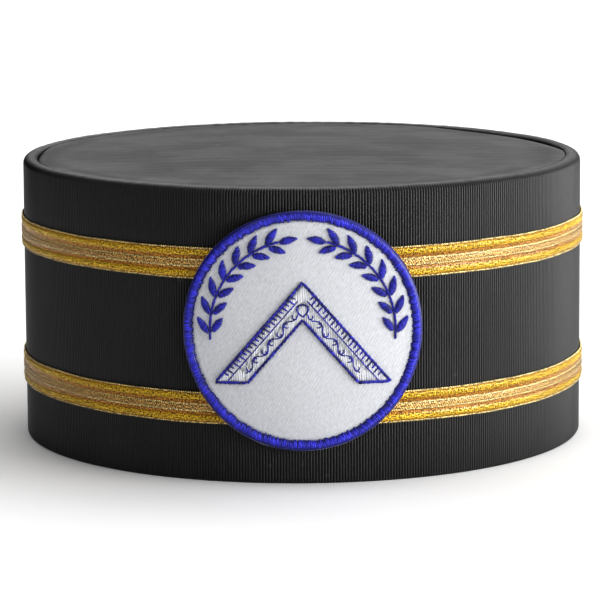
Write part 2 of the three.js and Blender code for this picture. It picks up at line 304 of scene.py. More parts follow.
class Finish:
    """A procedural material, or the world: a node tree of its own."""

    def __init__(self, name, kind="materials"):
        self.owner = getattr(bpy.data, kind).new(name)
        self.owner.use_nodes = True
        self.tree = self.owner.node_tree
        self.tree.nodes.clear()

    def node(self, kind, settings=None, inputs=None, output=0):
        """Adds a node: its settings first, then the values or links of its sockets."""
        made = self.tree.nodes.new(kind)
        for key, value in (settings or {}).items():
            if key == "stops":
                self.set_stops(made.color_ramp, value)
            else:
                setattr(made, key, value)
        for key, value in (inputs or {}).items():
            self.feed(self.socket(made, key), value)
        return Signal(self, made.outputs[output]) if made.outputs else None

    @staticmethod
    def socket(made, key):
        if isinstance(key, int):
            return made.inputs[key]
        return next(s for s in made.inputs if key in (s.identifier, s.name) and s.enabled)

    def feed(self, socket, value):
        if isinstance(value, Signal):
            self.tree.links.new(value.socket, socket)
        elif isinstance(value, tuple) and socket.type == "RGBA":
            socket.default_value = (*value, 1)
        else:
            socket.default_value = value

    @staticmethod
    def set_stops(ramp, stops):
        """Bands of one colour or grey each, from a stop to the next."""
        ramp.interpolation = "CONSTANT"
        while len(ramp.elements) < len(stops):
            ramp.elements.new(1)
        for element, (position, shade) in zip(ramp.elements, stops):
            element.position = position
            element.color = (*shade, 1) if isinstance(shade, tuple) else (shade, shade, shade, 1)

    def value(self, name):
        """A number that the mesh carries for each vertex."""
        return self.node("ShaderNodeAttribute", {"attribute_name": name}, output=2)

    def laid(self):
        """Where a point of the embroidery lies on the flat patch."""
        return self.node("ShaderNodeAttribute", {"attribute_name": "laid"}, output=1)

    def place(self):
        """Where a point is on the object."""
        return self.node("ShaderNodeTexCoord", output=3)

    def parts(self, vector):
        """The three numbers of a place or a direction."""
        first = self.node("ShaderNodeSeparateXYZ", {}, {"Vector": vector})
        return [Signal(self, output) for output in first.socket.node.outputs]

    def flat_place(self, x, y):
        """A place made of two numbers."""
        return self.node("ShaderNodeCombineXYZ", {}, {"X": x, "Y": y})

    def noise(self, place, scale, detail=2.0, roughness=0.5):
        inputs = {"Vector": place, "Scale": scale, "Detail": detail, "Roughness": roughness}
        return self.node("ShaderNodeTexNoise", {}, inputs)

    def blend(self, factor, first, second):
        """One colour to another."""
        inputs = {"Factor_Float": factor, "A_Color": first, "B_Color": second}
        return self.node("ShaderNodeMix", {"data_type": "RGBA"}, inputs, output=2)

    def shaded(self, tint, factor):
        """A colour made darker or lighter by a number."""
        return self.node("ShaderNodeVectorMath", {"operation": "SCALE"}, {0: tint, "Scale": factor})

    def smooth(self, value, low, high, out_low=0.0, out_high=1.0):
        """A smooth step of a value from one range to another."""
        inputs = {"Value": value, 1: low, 2: high, 3: out_low, 4: out_high}
        return self.node("ShaderNodeMapRange", {"interpolation_type": "SMOOTHSTEP"}, inputs)

    def wave(self, value):
        """A ripple between 0 and 1, with a full turn for each whole number."""
        turned = value * TURN
        return turned.math("COSINE", turned) * 0.5 + 0.5

    def bump(self, height, distance, strength):
        return self.node("ShaderNodeBump", {}, {"Strength": strength, "Distance": distance, "Height": height})

    def shader(self, **sockets):
        """Ends the tree: the Principled shader's sockets, by their names with _ for a space."""
        inputs = {key.replace("_", " "): value for key, value in sockets.items()}
        principled = self.node("ShaderNodeBsdfPrincipled", {}, inputs)
        self.node("ShaderNodeOutputMaterial", {}, {"Surface": principled})
        return self.owner


def tinted(setting, amount=1.0):
    """A colour of the settings, times an amount."""
    return tuple(amount * part for part in setting)


def cloth_finish(name, tint, gloss, lint, thread_pitch):
    """Ribbed black cloth, with painted shade in the valleys between its ribs, fine threads across them, worn
    patches, and flecks of lint by the share given."""
    lint_colour = (0.3, 0.3, 0.32)
    finish = Finish(name)
    place = finish.place()
    rib = finish.value("rib")
    # Painted shade: the base colour is darkened towards the valleys between the ribs.
    valley = finish.smooth(finish.value("crest"), 0.0, 0.7)
    blotch = finish.noise(place, 22.0, 3.0)
    streak = finish.node(
        "ShaderNodeTexNoise", {"noise_dimensions": "1D"}, {"W": rib * 0.71, "Scale": 1.0, "Detail": 2.0}
    )
    fuzz = finish.noise(place, 2600.0)
    tone = (0.1 + 0.9 * valley) * (0.62 + 0.76 * blotch) * (0.84 + 0.32 * streak) * (0.8 + 0.4 * fuzz)
    threads = finish.wave(finish.value("along") / thread_pitch)
    flecks = finish.smooth(finish.noise(place, 260.0, 1.0), 0.745, 0.8, 0.0, 0.6 * lint)
    wear = finish.smooth(finish.noise(place, 45.0, 4.0, 0.6), 0.4, 0.62, 0.0, lint)
    return finish.shader(
        Base_Color=finish.blend(flecks, finish.shaded(tint, tone), lint_colour),
        Roughness=0.3 + 0.14 * blotch,
        Specular_IOR_Level=gloss,
        Coat_Weight=wear * 0.38,
        Coat_Roughness=0.4,
        Sheen_Weight=0.03,
        Sheen_Roughness=0.4,
        Sheen_Tint=(0.8, 0.8, 0.85),
        Normal=finish.bump(threads * 0.6 + fuzz * 0.7, 0.05 * MM, 0.7),
    )


# A rib across its width, from one valley to the next: share of the pitch, and share of the relief.
RIB_COLUMNS = ((0.0, 0.0), (0.09, 0.44), (0.28, 0.85), (0.5, 1.0), (0.72, 0.85), (0.91, 0.44))

# The same across a rib of the panel, in fewer steps.
PANEL_RIB_ROWS = ((0.0, 0.0), (0.3, 1.0), (0.7, 1.0))

# Where the seam between rim and panel opens to its full depth: the direction in degrees, from the
# cap's right-hand side towards its back, and how far the opening spreads either way.
OPEN_STRETCHES = ((30, 24), (187, 15))


def rib_lines(ribs, profile):
    """The places of all the ribs' columns, counted in ribs, and how near its crest each one is."""
    offsets, rises = np.transpose(profile)
    return (np.arange(ribs)[:, None] + offsets).ravel(), np.tile(rises, ribs)


def seam_depth(angles, cloth):
    """Depth of the seam under the rim, at angles round the oval."""
    opening = np.zeros_like(angles)
    for middle, spread in OPEN_STRETCHES:
        away = (np.degrees(angles) - middle + 180) % 360 - 180
        opening += np.exp(-((away / spread) ** 4))
    return cloth.seam_depth * (cloth.seam_open + (1 - cloth.seam_open) * np.clip(opening, 0, 1))


class CAP_OT_ribbed_band(bpy.types.Operator):
    """Makes the band of ribbed cloth, with its rolled rim and its hem"""

    bl_idname = "cap.ribbed_band"
    bl_label = "Ribbed Band"

    def section(self, cloth):
        """Rows of the band, from under the hem up its face, over the rim and down inside. The
        columns are the inset, the height, the share of the ribs' relief, the share of the seam's
        waver, and the share of the seam's depth that the row hangs by from the rim."""
        hem, rim = cloth.hem_round, cloth.rim_round
        seam_height = RIM_HEIGHT - cloth.seam_depth
        under_rim = RIM_HEIGHT - cloth.rim_thickness
        face_heights = np.linspace(hem, RIM_HEIGHT - rim, 7)
        stretches = [
            (arc(hem, hem, hem, hem, 270, 198, 3), (0.3, 1.0), (0, 0)),
            (np.stack([0 * face_heights, face_heights], axis=-1), (1, 1), (0, 0)),
            (arc(rim, RIM_HEIGHT - rim, rim, rim, 162, 90, 5), (1, 0.9), (0.1, 0.6)),
            (arc(rim, seam_height, cloth.rim_width - rim, cloth.seam_depth, 60, 0, 3), (0.8, 0.45), (0.8, 1)),
            (np.array([[cloth.rim_width, under_rim]]), (0, 0), (0, 0)),
            (np.array([[cloth.wall, under_rim - cloth.rim_width + cloth.wall]]), (0, 0), (0, 0)),
            (arc(cloth.wall - hem, hem, hem, hem, 0, -72, 3), (0, 0.1), (0, 0)),
        ]
        rows = []
        for points, ribs, seam in stretches:
            count = len(points)
            hangs = (RIM_HEIGHT - points[:, 1]) / cloth.seam_depth * (seam[1] == 1)
            columns = [points, np.linspace(*ribs, count), np.linspace(*seam, count), hangs]
            rows.append(np.column_stack(columns))
        return np.concatenate(rows)

    def execute(self, context):
        cloth = context.scene.cap_cloth
        rows = self.section(cloth)
        inset, height, relief, seam, hangs = (rows[:, [k]] for k in range(5))
        run = np.cumsum(np.hypot(*np.diff(rows[:, :2], axis=0, prepend=0).T))
        ribs = round(GIRTH / cloth.rib_pitch)
        rib, crest = rib_lines(ribs, RIB_COLUMNS)
        turn = rib / ribs

        plump = np.repeat(np.random.default_rng(11).uniform(0.96, 1.03, ribs), len(RIB_COLUMNS))
        lean = 0.25 * cloth.rib_pitch * waver(turn, (3, 5, 8), 3) * np.sin(height / RIM_HEIGHT * 4)
        angles = girth_angles(turn) + lean / GIRTH * TURN
        swell = 0.3 * MM * waver(turn, (2, 3, 5, 9), 5) * np.sin(height / RIM_HEIGHT * math.pi) * (inset < MM)
        rim = waver(turn, (3, 7, 11, 17, 29), 7)
        puckers = waver(turn, (61, 83, 109, 131), 8)
        sunk = cloth.rib_relief * (1 - crest * plump) * relief
        inset = inset + sunk - swell + seam * cloth.seam_waver * (rim + 0.5 * puckers)
        height = height + hangs * (cloth.seam_depth - seam_depth(angles, cloth))
        height = height + seam * 0.22 * MM * (waver(turn, (4, 6, 9, 15), 9) + 0.8 * puckers)
        points = oval_points(angles, inset, height)
        faces = grid_faces(len(rows), len(rib), True, True)
        material = cloth_finish("band_cloth", tinted(cloth.band_colour), 0.6, 0.15, cloth.thread_pitch)
        values = {"rib": rib, "crest": crest, "along": run[:, None]}
        add_piece("ribbed_band", ["side_band"], points, faces, material, values)
        return {"FINISHED"}


class CAP_OT_top_panel(bpy.types.Operator):
    """Makes the top panel of smoother cloth, its ribs running from side to side"""

    bl_idname = "cap.top_panel"
    bl_label = "Top Panel"

    def heights(self, cloth, x, y, out, angles, half_width):
        """Height of the panel without its ribs: its crown, the dip to the seam, gathers and folds."""
        shoulder = 1 - cloth.shoulder_width / half_width
        shoulder_height = RIM_HEIGHT - cloth.shoulder_drop
        seam_height = RIM_HEIGHT - seam_depth(angles, cloth)
        crown = (PANEL_HIGH.z - shoulder_height) * (1 - np.clip(out / shoulder, 0, 1) ** 2)
        dip = np.sqrt(1 - np.clip((out - shoulder) / (1 - shoulder), 0, 1) ** 2)
        turn = angles / TURN
        beside_seam = np.exp(-((1 - out) * half_width) / cloth.gather_reach)
        front_right = np.exp(-((((turn + 0.11 + 0.5) % 1 - 0.5) / 0.09) ** 2))
        gathers = waver(turn, (53, 71, 97, 118), 21) * (0.35 + 0.9 * front_right) * beside_seam * dip
        x, y = x / MM, y / MM
        folds = np.sin(x / 11 + 1.0 + y / 60) * np.sin(y / 9 + 0.4)
        folds = folds + np.sin(x / 17 - y / 13) + np.sin(y / 7 + x / 31 + 2.0) * 0.6
        folds = folds + 0.4 * np.sin(y / 1.3 + 1.5 * np.sin(x / 23) + 2 * np.sin(y / 8))
        smooth = seam_height + (shoulder_height - seam_height) * dip + crown
        return smooth + cloth.gather_relief * gathers + cloth.fold_relief * folds * (1 - out**4)

    def side_faces(self, rows, columns):
        """Quads from the edge of the upper grid to the same edge of the lower one."""
        edge = np.concatenate([
            np.arange(rows - 1) * columns,
            (rows - 1) * columns + np.arange(columns - 1),
            np.arange(rows - 1, 0, -1) * columns + columns - 1,
            np.arange(columns - 1, 0, -1),
        ])
        following = np.roll(edge, -1)
        below = rows * columns
        return np.stack([edge, following, following + below, edge + below], axis=-1)

    def execute(self, context):
        cloth = context.scene.cap_cloth
        half_width = (PANEL_HIGH.x - PANEL_LOW.x) / 2
        half_length = (PANEL_HIGH.y - PANEL_LOW.y) / 2
        ribs = round(2 * half_length / cloth.rib_pitch)
        rib, crest = rib_lines(ribs, PANEL_RIB_ROWS)
        rib, crest = np.append(rib, ribs)[:, None], np.append(crest, 0.0)[:, None]
        y = (rib / ribs * 2 - 1) * half_length
        reach = half_width * np.sqrt(np.clip(1 - (y / half_length) ** 2, 0, 1))
        x = reach * np.sin(np.linspace(-math.pi / 2, math.pi / 2, 45))
        y = np.broadcast_to(y, x.shape)
        out = np.hypot(x / half_width, y / half_length)
        angles = np.arctan2(y / half_length, x / half_width)
        height = self.heights(cloth, x, y, out, angles, half_width)
        sunk = cloth.rib_relief * 0.55 * (1 - crest) * (1 - out**8)

        top = np.stack([x, MIDDLE_Y + y, height - sunk], axis=-1)
        bottom = np.stack([x, MIDDLE_Y + y, height - cloth.panel_thickness], axis=-1)
        grid = grid_faces(*x.shape)
        faces = np.concatenate([grid[:, ::-1], grid + x.size, self.side_faces(*x.shape)])
        points = np.stack([top, bottom])
        material = cloth_finish("top_cloth", tinted(cloth.top_colour), 0.36, 0.6, cloth.thread_pitch)
        values = {"rib": rib, "crest": crest, "along": x}
        weld(add_piece("top_panel_cloth", ["top_panel"], points, faces, material, values))
        return {"FINISHED"}


def weld(piece):
    """Joins the vertices of a piece that lie on one another, and drops the faces this closes."""
    work = bmesh.new()
    work.from_mesh(piece.data)
    bmesh.ops.remove_doubles(work, verts=work.verts, dist=0.002 * MM)
    bmesh.ops.dissolve_degenerate(work, edges=work.edges, dist=0.0005 * MM)
    bmesh.ops.recalc_face_normals(work, faces=work.faces)
    work.to_mesh(piece.data)
    work.free()


# A stripe of the braid: its yarn, its width in millimetres, the share of the braid's thickness that its
# middle reaches, how round it is, its rows, and the relief in millimetres and the lean, in ticks, of
# its slanting threads.
Stripe = namedtuple("Stripe", "yarn width reach roundness rows relief lean")

# The stripes from the braid's lower edge to its upper one, which mirror each other about the middle one.
LOWER_STRIPES = (
    Stripe("pale", 0.5, 0.75, 0.8, 3, 0.1, 0.0),
    Stripe("orange", 0.25, 0.6, 0.2, 2, 0.02, 0.0),
    Stripe("yellow", 1.85, 0.95, 0.3, 5, 0.08, 0.9),
    Stripe("orange", 1.15, 0.7, 0.2, 2, 0.04, 0.3),
    Stripe("pale", 0.45, 1.0, 0.6, 3, 0.07, 0.6),
)
MIDDLE_STRIPE = Stripe("twill", 1.6, 0.92, 0.12, 4, 0.07, 0.5)
UPPER_STRIPES = tuple(stripe._replace(lean=-stripe.lean) for stripe in reversed(LOWER_STRIPES))
BRAID_STRIPES = (*LOWER_STRIPES, MIDDLE_STRIPE, *UPPER_STRIPES)
STRIPE_EDGES = np.cumsum([0, *(stripe.width for stripe in BRAID_STRIPES)])
STRIPE_EDGES = STRIPE_EDGES / STRIPE_EDGES[-1]

# A yarn: its share of metal, how many windings a tick has, and how much painted shade darkens the spaces
# between its windings.
Yarn = namedtuple("Yarn", "metal windings gaps")
YARNS = {
    "pale": Yarn(0.2, 1.0, 0.5),
    "yellow": Yarn(0.6, 2.0, 0.3),
    "orange": Yarn(0.6, 3.0, 0.2),
    "twill": Yarn(0.5, 1.0, 0.5),
}
MOST_WINDINGS = 4
COLUMNS_A_TICK = 3

# Each braid: its name, the plain node that it stands for, and the first seed of its wandering.
BRAIDS = (("gold_braid_upper", "upper_braid", 31), ("gold_braid_lower", "lower_braid", 37))


class CAP_OT_gold_braids(bpy.types.Operator):
    """Makes the two gold braids, thread by thread, round the band"""

    bl_idname = "cap.gold_braids"
    bl_label = "Gold Braids"

    def face(self, braid, tick):
        """The braid's face for every tick round it: rows of place across it, from 0 to 1, and of
        distance out from its back."""
        across, out = [], []
        for stripe, start, end in zip(BRAID_STRIPES, STRIPE_EDGES, STRIPE_EDGES[1:]):
            for step in np.linspace(0.08, 0.92, stripe.rows):
                swell = 1 - stripe.roundness * (1 - math.sin(math.pi * step) ** 0.7)
                ripple = np.cos(TURN * (tick + stripe.lean * step))
                across.append(start + (end - start) * step)
                out.append(braid.thickness * stripe.reach * swell + stripe.relief * MM * ripple)
        return np.array(across), np.array(out)

    def execute(self, context):
        braid = context.scene.cap_braid
        material = self.finish(braid)
        ticks = round(GIRTH / braid.tick_pitch)
        turn = np.arange(ticks * COLUMNS_A_TICK) / (ticks * COLUMNS_A_TICK)
        angles = girth_angles(turn)
        for name, node, seed in BRAIDS:
            low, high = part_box(node)
            seat = (high.x - low.x) / 2 - HALF_WIDTH - braid.solid_thickness
            tick = turn * ticks + 0.6 * waver(turn, (7, 13, 29), seed)
            across, out = self.face(braid, tick)
            sway = braid.sway * waver(turn, (2, 5, 9, 14), seed + 1)
            pull = 1 + 0.02 * waver(turn, (11, 23), seed + 2)
            height = (low.z + high.z) / 2 + (across[:, None] - 0.5) * (high.z - low.z) * pull + sway
            loops = braid.edge_loops * np.cos(TURN * tick)
            height[0] -= loops
            height[-1] += loops
            face = oval_points(angles, -(seat + out), height)
            back = oval_points(angles, np.full((2, 1), -seat), height[[-1, 0]])
            points = np.concatenate([face, back])
            faces = grid_faces(*points.shape[:2], True, True)
            values = {"across": np.append(across, [1, 0])[:, None], "tick": tick}
            add_piece(name, [node], points, faces, material, values)
        return {"FINISHED"}

    def finish(self, braid):
        """Metal threads in three colours, wound and twisted, in stripes across the braid, with painted
        highlights at the glints and painted shade between the windings.
        """
        tints = {"yellow": tinted(braid.yellow), "orange": tinted(braid.orange), "pale": tinted(braid.pale)}
        tints["twill"] = tuple(0.65 * a + 0.35 * b for a, b in zip(tints["orange"], tints["pale"]))
        yarns = [YARNS[stripe.yarn] for stripe in BRAID_STRIPES]
        finish = Finish("gold_braid")
        across = finish.value("across")
        tick = finish.value("tick")

        def stripes(values):
            """A value for each stripe, by the place across the braid."""
            stops = list(zip(STRIPE_EDGES, values))
            return finish.node("ShaderNodeValToRGB", {"stops": stops}, {"Fac": across})

        tint = stripes([tints[stripe.yarn] for stripe in BRAID_STRIPES])
        metal = stripes([yarn.metal for yarn in yarns])
        windings = stripes([yarn.windings / MOST_WINDINGS for yarn in yarns]) * MOST_WINDINGS
        # Painted shade between the windings, darker by each yarn's share.
        depth = stripes([yarn.gaps for yarn in yarns])
        lean = stripes([1 if stripe.lean >= 0 else 0 for stripe in BRAID_STRIPES]) * 2 - 1
        speckle = finish.noise(finish.flat_place(tick, across * 13.0), 1.3, 2.0, 0.6)
        glint = finish.smooth(speckle, 0.4, 0.6)
        patchy = finish.noise(finish.place(), 60.0)
        wound = finish.wave(tick * windings + lean * across * 7.0 + speckle * 0.4)
        raised = finish.smooth(wound, 0.05, 0.75)
        # Painted highlight at the glints, and painted shade between the windings, in the base colour's tone.
        tone = (0.3 + 1.1 * glint) * (0.85 + 0.3 * patchy) * (1 - depth * (1 - raised))
        return finish.shader(
            Base_Color=finish.shaded(finish.blend(0.35 + 0.65 * raised, tints["orange"], tint), tone),
            Metallic=metal,
            Roughness=0.42 - 0.17 * glint,
            Specular_IOR_Level=1.0,
            Coat_Weight=0.85 * glint,
            Coat_Roughness=0.22,
            Normal=finish.bump(wound * 0.5 + speckle * 2.4, 0.2 * MM, 1.0),
        )


# A part of the embroidery, laid flat: its points and faces, and for each point the number of its thread
# and its share of the way along it.
Laid = namedtuple("Laid", "points faces thread way")


def stitches(starts, ends, foot, rise, radius, steps=5, sides=5, bow=0.45):
    """Threads from starts to ends on the flat patch, each arched out from foot by its rise."""
    starts, ends = np.asarray(starts, float), np.asarray(ends, float)
    count = len(starts)
    foot, rise, radius = (np.broadcast_to(v, (count,))[:, None, None] for v in (foot, rise, radius))
    way = np.linspace(0, 1, steps + 1)
    bulge = np.sin(math.pi * way)[:, None]
    course = ends - starts
    forwards = course / np.maximum(np.linalg.norm(course, axis=1, keepdims=True), 1e-9)
    sideways = np.stack([-forwards[:, 1], forwards[:, 0]], axis=-1)
    turn = TURN * np.arange(sides) / sides
    thickness = radius * (0.55 + 0.45 * bulge**0.5)
    middle = starts[:, None, :] + course[:, None, :] * way[None, :, None]
    flat = middle[:, :, None, :] + (thickness * np.cos(turn))[..., None] * sideways[:, None, None, :]
    up = foot + rise * bulge**bow + thickness * np.sin(turn)
    points = np.concatenate([flat, up[..., None]], axis=-1).reshape(-1, 3)

    base = (np.arange(count) * (steps + 1) * sides)[:, None]
    quads = grid_faces(steps + 1, sides, False, True)[:, [0, 3, 2, 1]]
    first = np.arange(sides)
    last = steps * sides + first[::-1]
    faces = (quads + base[..., None]).reshape(-1, 4).tolist()
    faces += (first + base).tolist() + (last + base).tolist()
    thread = np.repeat(np.arange(count, dtype=float), (steps + 1) * sides)
    return Laid(points, faces, thread, np.tile(np.repeat(way, sides), count))


def thread_finish(name, tint, dark, gloss, sunk):
    """Shiny embroidery thread: each thread a little different, twisted from two plies, with painted shade,
    darker by the share sunk, where it comes out of the ground."""
    finish = Finish(name)
    way = finish.value("way")
    lot = finish.node("ShaderNodeTexWhiteNoise", {"noise_dimensions": "1D"}, {"W": finish.value("thread")})
    worn = finish.noise(finish.laid(), 160.0)
    plies = finish.wave(way * 9.0 + lot * 3.0)
    tone = (0.62 + 0.66 * lot) * (0.84 + 0.32 * worn)
    # Painted shade near each thread's start, where it comes out of the ground.
    foot_shade = finish.smooth(way, 0.0, 0.35, sunk, 1.0)
    return finish.shader(
        Base_Color=finish.shaded(finish.blend(finish.smooth(tone, 0.6, 1.25), dark, tint), foot_shade),
        Roughness=gloss + 0.12 * worn,
        Sheen_Weight=0.25,
        Sheen_Roughness=0.35,
        Normal=finish.bump(plies, 0.03 * MM, 0.6),
    )


def embroidery(name, nodes, parts, material):
    """Joins lots of threads, laid flat, into one piece that lies on the bent patch."""
    faces, thread = [], []
    base, lot = 0, 0.0
    for part in parts:
        faces += [[index + base for index in face] for face in part.faces]
        thread.append(part.thread + lot)
        base += len(part.points)
        lot = thread[-1].max() + 1
    points = np.concatenate([part.points for part in parts])
    way = np.concatenate([part.way for part in parts])
    values = {"thread": np.concatenate(thread), "way": way, "laid": points}
    add_piece(name, nodes, bend_round_patch(points), faces, material, values)


def slab(outline, low, high):
    """A closed plate under a lot of threads, from an outline that goes round to the left."""
    count = len(outline)
    points = np.concatenate([np.column_stack([outline, np.full(count, height)]) for height in (low, high)])
    sides = grid_faces(2, count, False, True).tolist()
    faces = [list(range(count))[::-1], list(range(count, 2 * count)), *sides]
    return Laid(points, faces, np.zeros(2 * count), np.zeros(2 * count))


class CAP_OT_patch_ground(bpy.types.Operator):
    """Makes the patch's white twill, with the cut edge of its backing"""

    bl_idname = "cap.patch_ground"
    bl_label = "Patch Ground"

    def execute(self, context):
        patch = context.scene.cap_patch
        segments, rings = 128, 30
        angles = np.arange(segments) / segments * TURN
        twill = circle_points(np.linspace(0, 1, rings)[1:, None] * (GROUND_RADIUS + 0.6 * MM), angles, 0.0)
        x, y = twill[..., 0] / MM, twill[..., 1] / MM
        dimples = np.sin(x / 5.1 + 0.6 * np.sin(y / 7)) * np.sin(y / 6.3 + 1.1)
        twill[..., 2] = patch.ground_thickness + 0.07 * MM * dimples

        backing = PATCH_RADIUS - 0.4 * MM + 0.12 * MM * waver(angles / TURN, (5, 9, 17, 31, 47), 41)
        shift = np.array([-0.42, -0.28, 0]) * MM
        under_border = circle_points(GROUND_RADIUS + 0.7 * MM, angles, 0.5 * MM)
        edge = [circle_points(backing, angles, height) + shift for height in (0.45 * MM, 0.0)]
        laid = np.stack([*twill, under_border, *edge])[::-1]
        rows = len(laid)
        points = np.concatenate([laid.reshape(-1, 3), [[0, 0, 0], [0, 0, patch.ground_thickness]]])
        faces = grid_faces(rows, segments, False, True).tolist()
        under, over = rows * segments, rows * segments + 1
        innermost = (rows - 1) * segments
        for i in range(segments):
            j = (i + 1) % segments
            faces.append([under, j, i])
            faces.append([over, innermost + i, innermost + j])
        add_piece(
            "patch_twill", ["patch_ground"],
            bend_round_patch(points), faces, self.finish(patch), {"laid": points},
        )
        return {"FINISHED"}

    def finish(self, patch):
        """White twill: fine ridges that climb steeply to the right, crossed by the weft."""
        finish = Finish("white_twill")
        laid = finish.laid()
        x, y, _ = finish.parts(laid)
        steep = 1.73
        climb, along = x * steep - y, y * steep + x
        ridge = finish.wave(climb / patch.twill_pitch + finish.noise(laid, 90.0) * 0.5)
        slubs = finish.noise(finish.flat_place(climb / (1.1 * MM), along / (3 * MM)), 1.0)
        weft = finish.wave((y + x * 0.3) / patch.weft_pitch)
        cloudy = finish.noise(laid, 45.0, 3.0)
        grain = finish.noise(laid, 1100.0)
        tone = (0.94 + 0.06 * ridge) * (0.72 + 0.5 * slubs) * (0.95 + 0.1 * cloudy) * (0.93 + 0.14 * grain)
        return finish.shader(
            Base_Color=finish.shaded(tinted(patch.twill_colour), tone),
            Roughness=0.75,
            Sheen_Weight=0.2,
            Normal=finish.bump(ridge * 0.7 + weft * 0.25 + grain * 0.4, 0.07 * MM, 0.75),
        )


class CAP_OT_patch_border(bpy.types.Operator):
    """Makes the patch's overlocked border, stitch by stitch"""

    bl_idname = "cap.patch_border"
    bl_label = "Patch Border"

    def threads(self, patch, middle):
        """Slightly slanting threads, each over the border from its inner edge to its outer one."""
        generator = np.random.default_rng(51)
        count = round(TURN * middle / (1.65 * patch.stitch_pitch))
        angles = (np.arange(count) + generator.uniform(-0.12, 0.12, count)) / count * TURN
        reach_in = PATCH_RADIUS - patch.border_width + generator.uniform(-0.5, 0.3, count) * MM
        reach_out = PATCH_RADIUS - 0.28 * MM + generator.uniform(-0.1, 0.08, count) * MM
        slant = 0.011
        starts = circle_points(reach_in, angles, 0.0)[:, :2]
        ends = circle_points(reach_out, angles + slant, 0.0)[:, :2]
        rise = patch.border_thickness * 0.62 + generator.uniform(-0.03, 0.03, count) * MM
        return stitches(starts, ends, 0.75 * MM, rise, 0.33 * MM, steps=8, sides=6, bow=0.72)

    def core(self, patch, middle):
        """The round padding under the threads."""
        segments, sides = 160, 10
        around = np.arange(segments) / segments * TURN
        turn = (np.arange(sides) / sides * TURN)[:, None]
        radius = middle + (patch.border_width / 2 - 0.2 * MM) * np.cos(turn)
        points = circle_points(radius, around, patch.border_thickness / 2 * (1 + 0.94 * np.sin(turn)))
        number = np.zeros(segments * sides)
        return Laid(points.reshape(-1, 3), grid_faces(sides, segments, True, True).tolist(), number, number)

    def execute(self, context):
        patch = context.scene.cap_patch
        middle = PATCH_RADIUS - patch.border_width / 2
        blue = patch.blue_colour
        material = thread_finish("blue_thread", tinted(blue), tinted(blue, 0.5), 0.3, 0.3)
        parts = [self.core(patch, middle), self.threads(patch, middle)]
        embroidery("patch_overlock", ["patch_border"], parts, material)
        return {"FINISHED"}


# The square on the flat patch: heights of its apex, its feet and its inner apex over the patch's middle,
# how far its limbs spread at their feet, outside and inside, and their slope.
Square = namedtuple("Square", "apex foot inner_apex spread inner_spread slope")


def square_shape(patch):
    """The square as the frame has it, laid flat."""
    apex, foot = SQUARE_HIGH.z - PATCH_HEIGHT, SQUARE_LOW.z - PATCH_HEIGHT
    face = patch.bend_radius + patch.ground_thickness + 0.9 * MM
    spread = patch.bend_radius * math.asin(min(1.0, SQUARE_HIGH.x / face))
    slope = math.atan2(apex - foot, spread)
    inner_apex = apex - patch.limb_width / math.cos(slope)
    return Square(apex, foot, inner_apex, spread, spread - patch.limb_width / math.sin(slope), slope)


def square_edges(square):
    """The square's six edges, from the apex round to the left."""
    apex, foot, inner_apex, spread, inner_spread, _ = square
    inner = [(-inner_spread, foot), (0, inner_apex), (inner_spread, foot)]
    corners = [(0, apex), (-spread, foot), *inner, (spread, foot)]
    return list(zip(corners, corners[1:] + corners[:1]))


def limb_point(square, side, along, inwards):
    """A point on a limb: along from the apex down its outer edge, and inwards from that edge."""
    x = along * math.cos(square.slope) - inwards * math.sin(square.slope)
    y = square.apex - along * math.sin(square.slope) - inwards * math.cos(square.slope)
    return side * x, y


